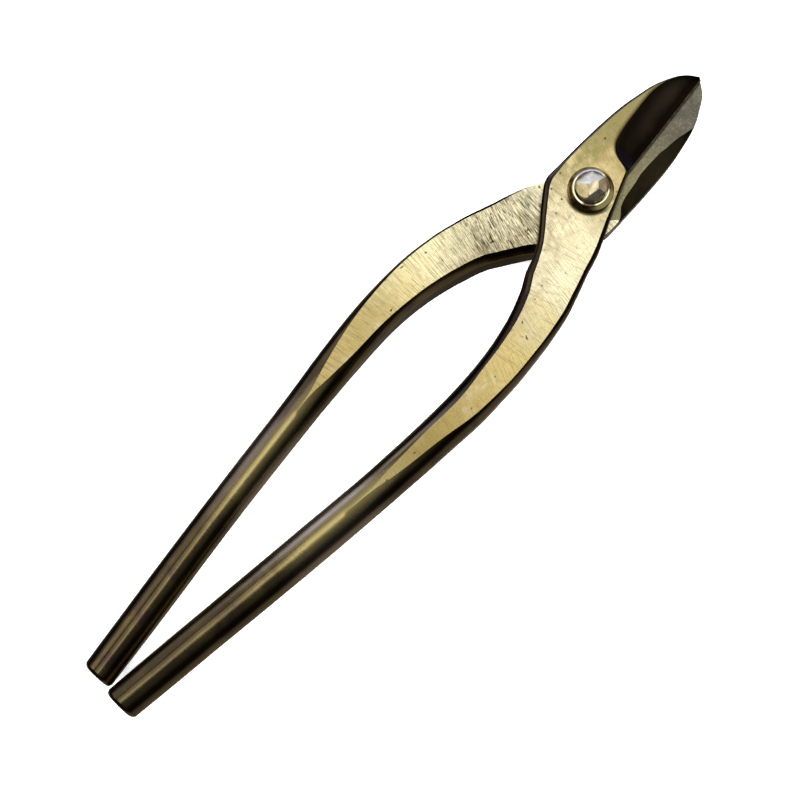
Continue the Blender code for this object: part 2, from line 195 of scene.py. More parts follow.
def newFinish(name, colour=None, **values):
    # A Principled finish; uniform values go on the shader's own sockets
    finish = bpy.data.materials.new(name)
    finish.use_nodes = True
    shader = finish.node_tree.nodes["Principled BSDF"]
    if colour:
        shader.inputs["Base Color"].default_value = (*colour, 1)
    for key, value in values.items():
        shader.inputs[key.replace("_", " ")].default_value = value
    return finish


viewOfTool = {
    "turn": 46.22,          # degrees, the tool's turn in the picture
    "tilt": 8.0,            # the camera leans this far to the bottom of the picture
    "lean": -0.68,          # and this far sideways
    "distance": 700 * mm,
    "aside": (-53.86 * mm, -58.24 * mm),  # picture centre, from the pivot
    "lens": 110.52,
    "sensor": 36,
    "nearest": 10 * mm,
}


def placeCamera(view):
    camera = linkObject("photoCamera", bpy.data.cameras.new("photoCamera"))
    camera.data.lens = view["lens"]
    camera.data.sensor_width = view["sensor"]
    camera.data.clip_start = view["nearest"]
    turned = (
        Matrix.Rotation(math.radians(view["lean"]), 4, "Y")
        @ Matrix.Rotation(math.radians(-view["tilt"]), 4, "X")
        @ Matrix.Rotation(math.radians(view["turn"]), 4, "Z")
    )
    camera.matrix_world = (
        Matrix.Translation((0, 0, planeHeight))
        @ turned.inverted()
        @ Matrix.Translation((*view["aside"], view["distance"]))
    )
    bpy.context.scene.camera = camera
    return camera


camera = placeCamera(viewOfTool)
print("camera placed")


studio = {
    "floorSize": 2.4,
    "floorPlace": (-0.07, 0, -0.0002),
    "floorColour": (0.94, 0.94, 0.93),
    "floorGlow": 0.55,
    "paleSky": (1.0, 1.0, 1.0),
    "dimSky": (0.011, 0.0095, 0.009),
    "highSky": (0.10, 0.10, 0.09),
    "mirroredBoard": (0.27, 0.24, 0.20),
    "boardSide": 0.38,           # how much more of the board the lower right sees
    "boardLight": 6.0,           # lights the board alone, so that the metal doesn't mirror it
    "toolMiddle": (-0.073, 0, planeHeight),
    "run": (0.57, 0.82, 0.0),    # the way the tool lies in the picture
    # name, size across and along the tool, brightness, colour, place from the tool's
    # middle in the picture's directions: right, up, towards the camera
    "softBoxes": (
        ("overhead", (0.46, 2.50), 1.42, (1.0, 0.97, 0.90), (0.30, 0.81, 1.58)),
        ("besideOverhead", (0.50, 2.50), 0.70, (1.0, 0.94, 0.80), (-0.10, 1.08, 1.58)),
        ("upperLeft", (0.90, 0.60), 0.34, (0.98, 0.88, 1.0), (-0.62, 0.62, 0.36)),
        ("left", (0.50, 0.50), 0.88, (1.0, 0.93, 0.60), (-0.83, 0.24, 0.47)),
        ("window", (1.40, 0.58), 1.60, (0.60, 0.70, 1.0), (-0.08, 0.95, 0.20)),
        ("right", (0.40, 0.40), 0.40, (1.0, 0.88, 0.76), (0.86, 0.39, 0.23)),
    ),
}


def layFloor(size, colour):
    mesh = bpy.data.meshes.new("paleFloor")
    half = size / 2
    corners = ((-half, -half), (half, -half), (half, half), (-half, half))
    mesh.from_pydata([(x, y, 0) for x, y in corners], [], [(0, 1, 2, 3)])
    floor = linkObject("paleFloor", mesh)
    floor.location = studio["floorPlace"]
    floor.visible_glossy = False
    mesh.materials.append(newFinish(
        "matt white board", colour, Roughness=0.9, Specular_IOR_Level=0.0,
        Emission_Color=(*colour, 1), Emission_Strength=studio["floorGlow"]
    ))


def hangBox(name, size, brightness, colour, place):
    # A soft box that faces the tool's middle, its second side along the tool
    facing = Vector(place).normalized()
    run = Vector(studio["run"] if facing.z > 0.3 else (0, 0, 1))
    run = (run - facing * run.dot(facing)).normalized()
    turned = Matrix((run.cross(facing), run, facing)).transposed().to_4x4()
    light = bpy.data.lights.new(name, "AREA")
    light.shape = "RECTANGLE"
    light.size, light.size_y = size
    light.energy = brightness * math.pi * size[0] * size[1]
    light.color = colour
    lamp = linkObject(name, light)
    cameraTurn = camera.matrix_world.to_3x3()
    middle = Vector(studio["toolMiddle"]) + cameraTurn @ Vector(place)
    lamp.matrix_world = Matrix.Translation(middle) @ cameraTurn.to_4x4() @ turned
    return lamp


def paintSky(studio):
    # White behind everything, but dim near the horizon for what the metal mirrors
    world = bpy.data.worlds.new("soft studio")
    bpy.context.scene.world = world
    world.use_nodes = True
    tree = world.node_tree
    tree.nodes.clear()
    _, aside, height = addWire(tree, "ShaderNodeTexCoord", output="Generated").parts()
    mirrored = height.ramp(0.55, 0.90).blend(studio["dimSky"], studio["highSky"])
    depth = aside * studio["boardSide"] + height
    mirrored = depth.ramp(-0.22, -0.62).blend(mirrored, studio["mirroredBoard"])
    behind = addWire(tree, "ShaderNodeLightPath", output="Is Camera Ray")
    seen = behind.blend(mirrored, studio["paleSky"])
    addNode(tree, "ShaderNodeOutputWorld", {"Surface": seen.through("ShaderNodeBackground")})


layFloor(studio["floorSize"], studio["floorColour"])
for box in studio["softBoxes"]:
    hangBox(*box)
boardLamp = hangBox("boardLight", (1.2, 1.2), studio["boardLight"], (1, 1, 1), (0, 0, 0.9))
boardLamp.visible_glossy = False
paintSky(studio)
bpy.context.scene.view_settings.view_transform = "Standard"
print("floor and soft boxes ready")


def placeOn(finish):
    return addWire(finish.node_tree, "ShaderNodeTexCoord", output="Object")


def mapOn(finish, name):
    return addWire(finish.node_tree, "ShaderNodeUVMap", uv_map=name)


def awayFromPivot(place):
    return place.vector("MULTIPLY", (1, 1, 0)).vector("LENGTH", output="Value")


def strip(value, rows):
    # A colour for each place, blended between the rows
    low, high = rows[0][0], rows[-1][0]
    node = addNode(value.tree, "ShaderNodeValToRGB", {0: value.ramp(low, high, "LINEAR")})
    stops = node.color_ramp.elements
    while len(stops) < len(rows):
        stops.new(0.5)
    for stop, row in zip(stops, rows):
        stop.position = (row[0] - low) / (high - low)
    for stop, row in zip(stops, rows):
        stop.color = (*row[1], 1)
    return Wire(value.tree, node.outputs[0])


def layered(colour, *layers):
    # Each layer: a wire, its values where the layer starts and is full, strength, colour
    for wire, start, full, share, shade in layers:
        colour = (wire.ramp(start, full) * share).blend(colour, shade)
    return colour


def dressed(finish, colour, roughness, bumps):
    # Each bump: height, strength and depth in metres
    tree = finish.node_tree
    shader = tree.nodes["Principled BSDF"]
    normal = None
    for height, strength, depth in bumps:
        inputs = {"Height": height, "Strength": strength, "Distance": depth}
        if normal:
            inputs["Normal"] = normal
        normal = addWire(tree, "ShaderNodeBump", inputs)
    for key, wire in (("Base Color", colour), ("Roughness", roughness), ("Normal", normal)):
        tree.links.new(wire.socket, shader.inputs[key])
    return finish


groundLook = {
    "olive": (0.30, 0.27, 0.11),
    "brown": (0.28, 0.19, 0.08),
    "pale": (0.98, 0.93, 0.72),
    # dark of the scratches and pits, also used for the painted shadow below the washer
    "scratchAndShadow": (0.050, 0.036, 0.018),
    "lineWidth": 0.24 * mm,      # grinding lines across the bar
    "lineLength": 9.0 * mm,
    "scratchWidth": 0.20 * mm,   # coarser ones, beside the other lever
    "scratchLength": 4.2 * mm,
    # the side of the washer on which a painted shadow lies on the flat
    "washerShadowSide": (-0.876, -0.482, 0),
}
# Strength of the lines and stains, slant of the lines in degrees, and where the scratches
# start and are full, past the front lever's tip because it has none; then place along
# the lever and colour of the lacquered flat there. These tones are partly the lacquer's own
# and partly painted reflection and shade: the flat's lighter and darker stretches along the lever.
ownGround = {
    "front": {
        "lines": 0.38, "stains": 0.90, "slant": 28.0, "scratched": (0.5, 0.6),
        "toneAndReflection": (
            (-0.104, (0.46, 0.38, 0.19)), (-0.088, (0.37, 0.285, 0.10)), (-0.070, (0.54, 0.42, 0.17)),
            (-0.055, (0.70, 0.57, 0.25)), (-0.042, (0.77, 0.67, 0.37)), (-0.030, (1.00, 0.94, 0.68)),
            (-0.008, (1.00, 0.92, 0.64)), (0.003, (0.80, 0.68, 0.37)), (0.008, (0.66, 0.54, 0.28)),
            (0.012, (0.46, 0.37, 0.17)), (0.022, (0.33, 0.28, 0.14)), (0.034, (0.31, 0.28, 0.17)),
            (0.046, (0.42, 0.40, 0.31)),
        ),
    },
    "rear": {
        "lines": 0.62, "stains": 0.0, "slant": 6.0, "scratched": (-0.056, -0.028),
        "toneAndReflection": (
            (-0.104, (0.52, 0.40, 0.18)), (-0.092, (0.60, 0.47, 0.20)), (-0.076, (0.62, 0.50, 0.22)),
            (-0.066, (0.66, 0.55, 0.26)), (-0.059, (0.86, 0.75, 0.42)), (-0.050, (0.98, 0.91, 0.60)),
            (-0.036, (1.00, 0.93, 0.65)), (-0.024, (1.00, 0.93, 0.66)), (-0.010, (1.00, 0.95, 0.70)),
            (0.046, (1.00, 0.95, 0.70)),
        ),
    },
}


def groundFinish(name, look, own):
    # Flats ground after blackening, under a thin bronze lacquer
    finish = newFinish(name, Metallic=1.0)
    place, lay, rim = placeOn(finish), mapOn(finish, "lay"), mapOn(finish, "rim")
    slanted = lay.through("ShaderNodeMapping", {"Rotation": (0, 0, math.radians(own["slant"]))})
    along, across, _ = lay.parts()
    x, y, _ = place.parts()

    fine, long = 1 / look["lineWidth"], 1 / look["lineLength"]
    lines = slanted.noise((fine, long, 1), 2, 0.6)
    faint = lay.noise((fine * 0.4, long * 0.8, 1), 3, 0.6)
    cloud = place.noise(110, 4)
    small = place.noise(900, 3, 0.6)
    spots = place.noise(330, 4, 0.65)
    # Base colour along the lever: the lacquer's tone with painted reflection and shade of the flat
    colour = layered(
        strip((cloud - 0.5) * 0.024 + along, own["toneAndReflection"]),
        (cloud, 0.56, 0.74, 0.45, look["pale"]), (lines, 0.47, 0.64, own["lines"], look["olive"]),
        (faint, 0.51, 0.72, 0.42, look["brown"]), (small, 0.50, 0.72, 0.26, look["brown"])
    )

    # Stains towards the spine on the head and on the inner half of the neck
    head = x.ramp(-0.012, 0.004) * abs(y).ramp(0.0030, 0.0065) * spots.ramp(0.30, 0.62)
    colour = (head * own["stains"]).blend(colour, look["olive"])
    neck = x.ramp(-0.064, -0.034) * x.ramp(0.002, -0.008) * across.ramp(0.0070, 0.0115)
    colour = (neck * spots.ramp(0.34, 0.66) * 0.46).blend(colour, look["brown"])

    # Coarse file scratches where the bar runs in under the other lever
    band = ((cloud - 0.5) * 0.05 + along).ramp(*own["scratched"]) * along.ramp(-0.008, -0.015)
    scored = slanted.noise((1 / look["scratchWidth"], 1 / look["scratchLength"], 1), 2, 0.75)
    dense = band * -0.12 + 0.60
    score = band.ramp(0.0, 0.35) * scored.ramp(dense, dense + 0.10)

    # Painted shadow round the washer's lower side, the flat darker along the scoop's border, a few small
    # pits
    away = awayFromPivot(place)
    lower = place.vector("DOT_PRODUCT", look["washerShadowSide"], output="Value") / away
    washerShadow = lower.ramp(0.25, 0.80) * away.ramp(0.0078, 0.0070) * 0.97
    worn = (small * 0.0004 + rim.parts()[0]).ramp(0.0014, 0.0001) * 0.93
    pit = place.noise(620, 1, 0.3).ramp(0.745, 0.775)
    for share in (score * 0.90, washerShadow.calc("MAXIMUM", worn), pit * 0.85):
        colour = share.blend(colour, look["scratchAndShadow"])
    return dressed(finish, colour, score * 0.2 + (cloud * 0.12 + 0.21), (
        (lines, 0.30, fineBump), (score, -0.5, 0.03 * mm), (pit, -0.6, 0.05 * mm), (small, 0.10, fineBump)
    ))


forgedLook = {
    "scale": (0.17, 0.135, 0.075),
    "worn": (0.30, 0.24, 0.11),
    # on the rods' crest: lacquer tone and a painted highlight
    "golden": (0.66, 0.55, 0.25),
    "smoky": (0.44, 0.37, 0.28),
    "plum": (0.13, 0.085, 0.085),
    # near black on the spine's bevel and side: painted shade
    "spine": (0.045, 0.036, 0.034),
    "streakLength": 10 * mm,
    "streakWidth": 0.6 * mm,
    "crest": 5.9 * mm,           # where the rod's crest lies in the layout
    # along the lever: the lacquer is golden between these places, and fades outside them
    "goldRise": (-0.150, -0.128),
    "goldFall": (-0.100, -0.119),
    "crestReach": 0.014,         # on the crest the gold runs on this much further
}


def forgedFinish(name, look):
    # Forge scale under bronze lacquer: bevels, sides and rods. The golden line on the rods' crest is
    # partly a painted highlight
    finish = newFinish(name, Metallic=1.0)
    place, lay = placeOn(finish), mapOn(finish, "lay")
    along, across, _ = lay.parts()
    onSpine = mapOn(finish, "rim").parts()[1]
    cloud = place.noise(70, 4)
    grain = place.noise(1300, 3, 0.6)
    streak = lay.noise((1 / look["streakLength"], 1 / look["streakWidth"], 1), 3, 0.6)
    # The crest's golden line is partly a painted highlight, where the light runs along the rod
    crestHighlight = abs(across - look["crest"]).ramp(0.0030, 0.0014)
    wandering = (cloud - 0.5) * 0.030 + along
    fading = crestHighlight * -look["crestReach"] + wandering
    golden = wandering.ramp(*look["goldRise"]) * fading.ramp(*look["goldFall"])
    worn = cloud.ramp(0.42, 0.70) * 0.6 + streak.ramp(0.5, 0.8) * 0.4
    colour = layered(
        worn.blend(look["scale"], look["worn"]), (place.noise(130), 0.52, 0.66, 0.65, look["plum"])
    )
    lacquer = crestHighlight.blend(look["smoky"], look["golden"])
    colour = (golden * (streak * 0.5 + 0.62)).blend(colour, lacquer)
    # The spine's bevel and side are painted near black from about 70 mm behind the pivot to the tip:
    # painted shade, where they turn away from the light
    blackened = along.ramp(-0.098, -0.070) * (onSpine * 0.80)
    rough = golden * 0.08 + (grain * 0.08 + (cloud * 0.12 + 0.11))
    return dressed(
        finish, blackened.blend(colour, look["spine"]), rough,
        ((grain, 0.16, fineBump), (streak, 0.12, fineBump))
    )


def scoopFinish():
    # The hollow behind the cutting edge: blackened and satin, blue at the heel, and browner
    # towards the spine, where the brown is a painted warm reflection
    finish = newFinish("blackened scoop", Metallic=1.0)
    place = placeOn(finish)
    along, across, _ = mapOn(finish, "lay").parts()
    cloud = place.noise(130)
    lines = place.noise((240, 2600, 900), 2, 0.5)
    # browner towards the spine: a painted warm reflection
    spine = (cloud * 0.003 + across).ramp(0.0030, 0.0075)
    colour = layered(
        spine.blend((0.016, 0.010, 0.006), (0.110, 0.082, 0.056)),
        (cloud * 0.006 + along, 0.0205, 0.0160, 0.85, (0.060, 0.048, 0.100))
    )
    return dressed(finish, colour, cloud * 0.15 + 0.36, ((lines, 0.16, fineBump),))


def hardSteelFinish():
    # The let-in steel: fine ground, grey with an olive cast towards the heel
    finish = newFinish("ground hard steel", Metallic=1.0)
    place = placeOn(finish)
    cloud = place.noise(190, 4)
    lines = place.noise((1500, 3600, 900), 3, 0.7)
    grain = place.noise(1900, 3, 0.7)
    tip = place.parts()[0].ramp(0.008, 0.036)
    colour = layered(
        tip.blend((0.29, 0.27, 0.145), (0.130, 0.126, 0.106)),
        (cloud, 0.38, 0.68, 0.4, (0.30, 0.285, 0.20)), (lines, 0.45, 0.75, 0.5, (0.12, 0.105, 0.06)),
        (grain, 0.48, 0.66, 0.50, (0.10, 0.085, 0.07)), (grain, 0.46, 0.32, 0.28, (0.48, 0.45, 0.35))
    )
    return dressed(
        finish, colour, lines * 0.16 + 0.22, ((lines, 0.22, fineBump), (grain, 0.15, fineBump / 2))
    )


def edgeFinish():
    # The steep bevel behind the cutting edge: dark oil-blackened steel
    finish = newFinish("blackened edge", Metallic=1.0)
    lines = placeOn(finish).noise((900, 3000, 3000), 3, 0.6)
    colour = lines.ramp(0.4, 0.7).blend((0.050, 0.038, 0.024), (0.16, 0.125, 0.080))
    return dressed(finish, colour, lines * 0.15 + 0.25, ((lines, 0.16, fineBump),))


washerLook = {
    "dark": (0.20, 0.135, 0.07),
    "light": (0.60, 0.50, 0.22),
    # the rim painted bright cream: a painted highlight
    "rim": (1.0, 0.95, 0.70),
    "rimRadii": (4.75 * mm, 5.35 * mm),
    "metallic": 1.0,
    "roughness": 0.16,
    "ringDepth": 0.20,
    "slopeHighlight": (0.98, 0.90, 0.42),
    "rimSkyReflection": (0.50, 0.50, 0.62),
    "rimShade": (0.14, 0.10, 0.06),
    # degrees round the axis, and the cosines where the colour starts and is full:
    # the slope's painted highlight, the rim's painted blue reflection and two places of painted shade on
    # the rim
    "paintedLightLobes": ((272.0, 0.72, 0.88), (48.0, 0.60, 0.80), (216.0, 0.90, 0.97), (332.0, 0.86, 0.96)),
}
rivetLook = {
    "dark": (0.54, 0.46, 0.31),
    "light": (0.74, 0.67, 0.50),
    "rim": (0.10, 0.07, 0.04),
    "rimRadii": (4.8 * mm, 5.2 * mm),
    "metallic": 0.955,
    "roughness": 0.10,
    "ringDepth": 0.03,
    "paintedLightLobes": (),
}


def turnedFinish(name, look, ringWidth=0.12 * mm, rimFade=0.15 * mm):
    # Lathe rings round the pivot axis and a colour that varies at random; on the washer, painted
    # highlight, reflection and shade at set turns round the axis
    finish = newFinish(name, Metallic=look["metallic"])
    tree, place = finish.node_tree, placeOn(finish)
    away = awayFromPivot(place)
    inputs = {"W": away / ringWidth, "Scale": 1.0, "Detail": 2.0}
    rings = addWire(tree, "ShaderNodeTexNoise", inputs, noise_dimensions="1D")
    cloud = place.noise(420)
    colour, rim = cloud.ramp(0.34, 0.66).blend(look["dark"], look["light"]), look["rim"]
    inner, outer = look["rimRadii"]
    # On the washer the rim's bright colour is a painted highlight; on the rivet the rim is dark
    onRim = away.ramp(inner - rimFade, inner) * away.ramp(outer + rimFade, outer)
    shares = []
    for degrees, start, full in look["paintedLightLobes"]:
        way = (math.cos(math.radians(degrees)), math.sin(math.radians(degrees)), 0)
        outward = place.vector("DIVIDE", join(tree, away, away, 1.0))
        shares.append(outward.vector("DOT_PRODUCT", way, output="Value").ramp(start, full))
    # Painted light on the washer: a highlight on the lower slope, a blue reflection on the rim's top and
    # shade at two places on the rim
    if shares:
        colour = shares[0].blend(colour, look["slopeHighlight"])
        rim = shares[1].blend(rim, look["rimSkyReflection"])
        rim = shares[2].calc("MAXIMUM", shares[3]).blend(rim, look["rimShade"])
    return dressed(
        finish, onRim.blend(colour, rim), cloud * 0.12 + look["roughness"],
        ((rings, look["ringDepth"], fineBump), (cloud, 0.05, 0.05 * mm))
    )


frontGround = groundFinish("front ground flat", groundLook, ownGround["front"])
rearGround = groundFinish("rear ground flat", groundLook, ownGround["rear"])
forgedScale = forgedFinish("forge scale", forgedLook)
blackScoop = scoopFinish()
hardSteel = hardSteelFinish()
blackEdge = edgeFinish()
steelWall = newFinish("blackened steel wall", (0.020, 0.016, 0.011), Metallic=1.0, Roughness=0.35)
washerBronze = turnedFinish("turned washer", washerLook)
rivetBronze = turnedFinish("filed rivet", rivetLook)
print("finishes mixed")


# Sizes first; the tables that follow are in shares of them, row by row
leverShape = {
    "handleLength": 193.7 * mm,
    "bladeLength": 46.2 * mm,
    "rodRadius": 5.4 * mm,
    "bowOffset": 18.2 * mm,
    "crossingReach": 26.3 * mm,
    "crossingOffset": 10.6 * mm,
    "crossingWidth": 17.2 * mm,
    "headHalfWidth": 11.8 * mm,
    "thickness": 6.85 * mm,
    "heelPlace": 11.9 * mm,
    "heelOverlap": 3.9 * mm,
    "tipOverlap": 0.3 * mm,
    "tipWidth": 0.5 * mm,
    "endRounding": 1.6 * mm,
    "slantStart": 0.93,
    "endSlant": 0.50 * mm,      # the inner side of the end lies this much further back
    "halfGap": 0.15 * mm,       # from the plane between the levers to the inner face
    "endOffset": 5.55 * mm,     # the rod's middle at its end
    "edgeRise": 2.8 * mm,       # height of the steep edge bevel
    "edgeLean": 0.4 * mm,
    "tipCover": 1.1 * mm,
    "hollow": 0.6,
    "rimRoundness": 0.6,        # of the narrow bevels round the flats
    "leanLimit": 0.5,
}
leverShape["face"] = leverShape["halfGap"] + leverShape["thickness"]
leverShape["tipHeight"] = leverShape["halfGap"] + leverShape["edgeRise"] + leverShape["tipCover"]

leverShape["crossingOut"] = (leverShape["crossingOffset"] - leverShape["endOffset"]) / (
    leverShape["bowOffset"] - leverShape["endOffset"]
)

# How far back, the middle's way out to the bow, the added width
handleTable = [(0.0, leverShape["crossingOut"], 1.0)] + scaled(1000, (
    (34, 600, 800), (100, 840, 540), (172, 970, 360), (238, 1000, 250), (340, 930, 125),
    (508, 717, 0), (682, 480, 0), (850, 225, 0), (1000, 0, 0),
))
# Spine-side and edge-side points of each section where the levers cross
crossingTable = scaled(1000, (
    (0, -973, -110, -760, -1445), (140, -829, 45, -646, -1335), (280, -669, 280, -517, -1235),
    (420, -510, 526, -388, -1130), (560, -365, 760, -274, -1028), (700, -251, 930, -183, -938),
    (820, -167, 985, -114, -862), (1000, -20, 986, -8, -757),
))
# What the hammer left different on each lever, in millimetres: back along the handle,
# outwards and wider; and at the crossing, how much fuller on the spine and edge side
ownBends = {
    "front": scaled(100, (
        (0, -38, -110), (4, -65, -90), (8, -91, -100), (12, -108, -100), (16, -117, -88),
        (20, -116, -78), (25, -112, -50), (30, -108, -49), (35, -97, -31), (40, -90, -9),
        (45, -70, 18), (50, -65, 37), (60, -72, 53), (70, -77, 45), (80, -74, 30), (90, -66, 20),
        (100, -58, -15),
    )),
    "rear": scaled(100, (
        (0, 70, 20), (5, 73, 15), (8, 73, 50), (12, 90, 50), (16, 102, 31), (20, 115, 3),
        (25, 112, -15), (30, 107, -12), (35, 94, -24), (40, 80, -36), (50, 67, -48), (60, 53, -68),
        (70, 33, -72), (80, 9, -68), (90, -18, -84), (100, -38, -118),
    )),
}
ownCrossings = {
    "front": scaled(100, (
        (0, -25, -50), (14, -25, -25), (28, -5, 0), (42, 35, 10), (56, 42, 0), (70, 28, 0),
        (85, 0, 0), (100, -10, 0),
    )),
    "rear": scaled(100, (
        (0, 60, 110), (14, 110, 140), (28, 75, 130), (42, 6, 100), (56, -34, 50), (70, -22, 20),
        (85, 0, 0), (100, -5, 0),
    )),
}
ownLengths = {"front": 1.7 * mm, "rear": 0.3 * mm}
# Back along the handle: how far inward the crest lies
ownTwists = {
    "front": scaled(1000, (
        (0, 0), (350, 0), (440, 50), (500, 40), (600, 45), (1000, 40),
    )),
    "rear": scaled(1000, (
        (0, 0), (350, -20), (440, -65), (500, -70), (600, -30), (1000, 0),
    )),
}
# Forward along the blade: how much fuller the spine is
ownSpines = {
    "front": scaled(100, (
        (0, -10), (10, -16), (60, -14), (76, 8), (90, 18), (100, 0),
    )),
    "rear": scaled(100, (
        (0, -5), (12, -28), (60, -32), (78, -14), (89, -45), (100, 5),
    )),
}
# Forward along the blade, the spine's distance from the tool's middle line
spineTable = scaled(1000, (
    (0, 986), (82, 988), (165, 983), (270, 968), (400, 940), (530, 889), (640, 808), (768, 673),
    (898, 433), (958, 243), (1000, 0),
))
# Forward to the heel, the throat's distance from the tool's middle line
throatTable = scaled(1000, ((0, 757), (300, 625), (600, 495), (840, 402)))
throatTable.append((1.0, leverShape["heelOverlap"] / leverShape["headHalfWidth"]))
# Back along the handle: width and drop of the bevels on the face's outer and inner
# side and on the underside's inner and outer side, then how round they are
barBevels = scaled(1000, (
    (0, 50, 160, 50, 120, 12, 30, 0, 0, 0),
    (40, 60, 170, 90, 180, 22, 45, 0, 20, 0),
    (80, 70, 180, 105, 200, 110, 160, 20, 60, 0),
    (110, 80, 195, 115, 240, 200, 250, 35, 90, 50),
    (136, 90, 210, 145, 290, 210, 300, 45, 110, 100),
    (166, 100, 220, 175, 320, 225, 320, 45, 120, 150),
    (223, 115, 260, 195, 330, 220, 330, 60, 170, 200),
    (285, 140, 300, 195, 340, 215, 340, 90, 230, 300),
    (342, 195, 340, 255, 360, 235, 360, 140, 280, 450),
    (400, 275, 380, 295, 380, 265, 380, 220, 330, 600),
    (456, 335, 420, 345, 420, 360, 420, 350, 390, 800),
    (503, 405, 470, 400, 470, 480, 480, 480, 470, 930),
    (530, 475, 490, 465, 490, 500, 500, 500, 500, 980),
    (590, 500, 500, 500, 500, 500, 500, 500, 500, 1000),
    (1000, 500, 500, 500, 500, 500, 500, 500, 500, 1000),
))
# Forward along the blade: width of the scoop or edge bevel, width and drop of the
# spine's bevel on the face, the same on the inner face, how far it is scoop
bladeBevels = scaled(1000, (
    (0, 50, 50, 120, 12, 30, 0), (26, 50, 45, 120, 30, 50, 0), (90, 50, 45, 120, 144, 140, 0),
    (150, 55, 45, 120, 208, 180, 0), (230, 60, 45, 120, 257, 220, 0),
    (246, 115, 55, 120, 270, 220, 150), (258, 255, 55, 120, 279, 220, 600),
    (278, 400, 55, 120, 294, 220, 1000), (328, 540, 55, 120, 322, 220, 1000),
    (400, 607, 55, 120, 334, 220, 1000), (480, 660, 58, 120, 331, 220, 1000),
    (560, 708, 60, 120, 285, 220, 1000), (620, 762, 60, 125, 241, 200, 1000),
    (660, 795, 60, 130, 195, 180, 1000), (720, 845, 58, 135, 98, 120, 1000),
    (760, 872, 56, 138, 30, 85, 1000), (787, 890, 55, 140, 20, 80, 1000),
    (860, 932, 50, 150, 20, 60, 1000), (1000, 935, 50, 150, 30, 60, 1000),
))
faceFall = ((0.0, 0.0), (0.045, 0.0), (0.503, 1.0), (1.0, 1.0))
underFall = scaled(1000, (
    (0, 0), (122, 0), (150, 100), (175, 270), (223, 620), (285, 890), (342, 990), (400, 1000),
    (1000, 1000),
))
# Back along the handle: how far the inner side leans out from the underside's bevel
innerDraft = scaled(1000, (
    (0, 0), (80, 40), (130, 85), (220, 80), (300, 60), (400, 30), (500, 0), (1000, 0),
))
tipFall = ((0.0, 0.0), (0.27, 0.0), (0.56, 0.25), (1.0, 1.0))


def slopeAt(rows, index, column):
    if index == 0 or index == len(rows) - 1:
        return None
    before, here, after = rows[index - 1], rows[index], rows[index + 1]
    slopeIn = (here[column] - before[column]) / (here[0] - before[0])
    slopeOut = (after[column] - here[column]) / (after[0] - here[0])
    if slopeIn * slopeOut <= 0:
        return 0.0
    return 2 * slopeIn * slopeOut / (slopeIn + slopeOut)


def follow(rows, place):
    # A smooth curve through a table's rows, for every column after the first
    place = min(max(place, rows[0][0]), rows[-1][0])
    index = 0
    while index < len(rows) - 2 and place > rows[index + 1][0]:
        index += 1
    low, high = rows[index], rows[index + 1]
    span = high[0] - low[0]
    t = (place - low[0]) / span
    values = []
    for column in range(1, len(low)):
        chord = (high[column] - low[column]) / span
        start, finish = slopeAt(rows, index, column), slopeAt(rows, index + 1, column)
        start = chord if start is None else start
        finish = chord if finish is None else finish
        values.append(
            low[column] * (2 * t**3 - 3 * t**2 + 1) + start * span * (t**3 - 2 * t**2 + t)
            + high[column] * (3 * t**2 - 2 * t**3) + finish * span * (t**3 - t**2)
        )
    return values


def straight(rows, place):
    for low, high in zip(rows, rows[1:]):
        if place <= high[0]:
            return mix(low[1], high[1], (place - low[0]) / (high[0] - low[0]))
    return rows[-1][1]


def barMiddle(shape, side, share):
    out, widening = follow(handleTable, share)
    outwards, wider = follow(ownBends[side], share)
    back = mix(shape["crossingReach"], shape["handleLength"] + ownLengths[side], share)
    offset = mix(shape["endOffset"], shape["bowOffset"], out) + outwards * mm
    width = mix(2 * shape["rodRadius"], shape["crossingWidth"], widening) + wider * mm
    return Vector((-back, -offset)), width


def barSides(shape, side, share):
    # The bar's inner and outer side, square to its own run
    middle, width = barMiddle(shape, side, share)
    ahead = barMiddle(shape, side, max(share - 0.001, 0))[0]
    run = (ahead - barMiddle(shape, side, min(share + 0.001, 1))[0]).normalized()
    across = Vector((-run.y, run.x)) * width / 2
    return middle + across, middle - across


def crossingSides(shape, side, share):
    highX, highY, lowX, lowY = follow(crossingTable, share)
    reach, half = shape["crossingReach"], shape["headHalfWidth"]
    high, low = Vector((highX * reach, highY * half)), Vector((lowX * reach, lowY * half))
    across = (high - low).normalized() * mm
    highFuller, lowFuller = follow(ownCrossings[side], share)
    return high + across * highFuller, low - across * lowFuller


def bladeSides(shape, side, share):
    place = share * shape["bladeLength"]
    spine = mix(shape["tipWidth"], shape["headHalfWidth"], follow(spineTable, share)[0])
    spine += follow(ownSpines[side], share)[0] * mm
    if place >= shape["heelPlace"]:
        past = (place - shape["heelPlace"]) / (shape["bladeLength"] - shape["heelPlace"])
        edge = mix(-shape["heelOverlap"], -shape["tipOverlap"], past)
    else:
        edge = -follow(throatTable, place / shape["heelPlace"])[0] * shape["headHalfWidth"]
    return Vector((place, spine)), Vector((place, edge))


def heights(shape, place):
    if place >= 0:
        share = straight(tipFall, place / shape["bladeLength"])
        return mix(shape["face"], shape["tipHeight"], share), shape["halfGap"]
    back = -place / shape["handleLength"]
    face = mix(shape["face"], shape["rodRadius"], straight(faceFall, back))
    return face, mix(shape["halfGap"], -shape["rodRadius"], follow(underFall, back)[0])


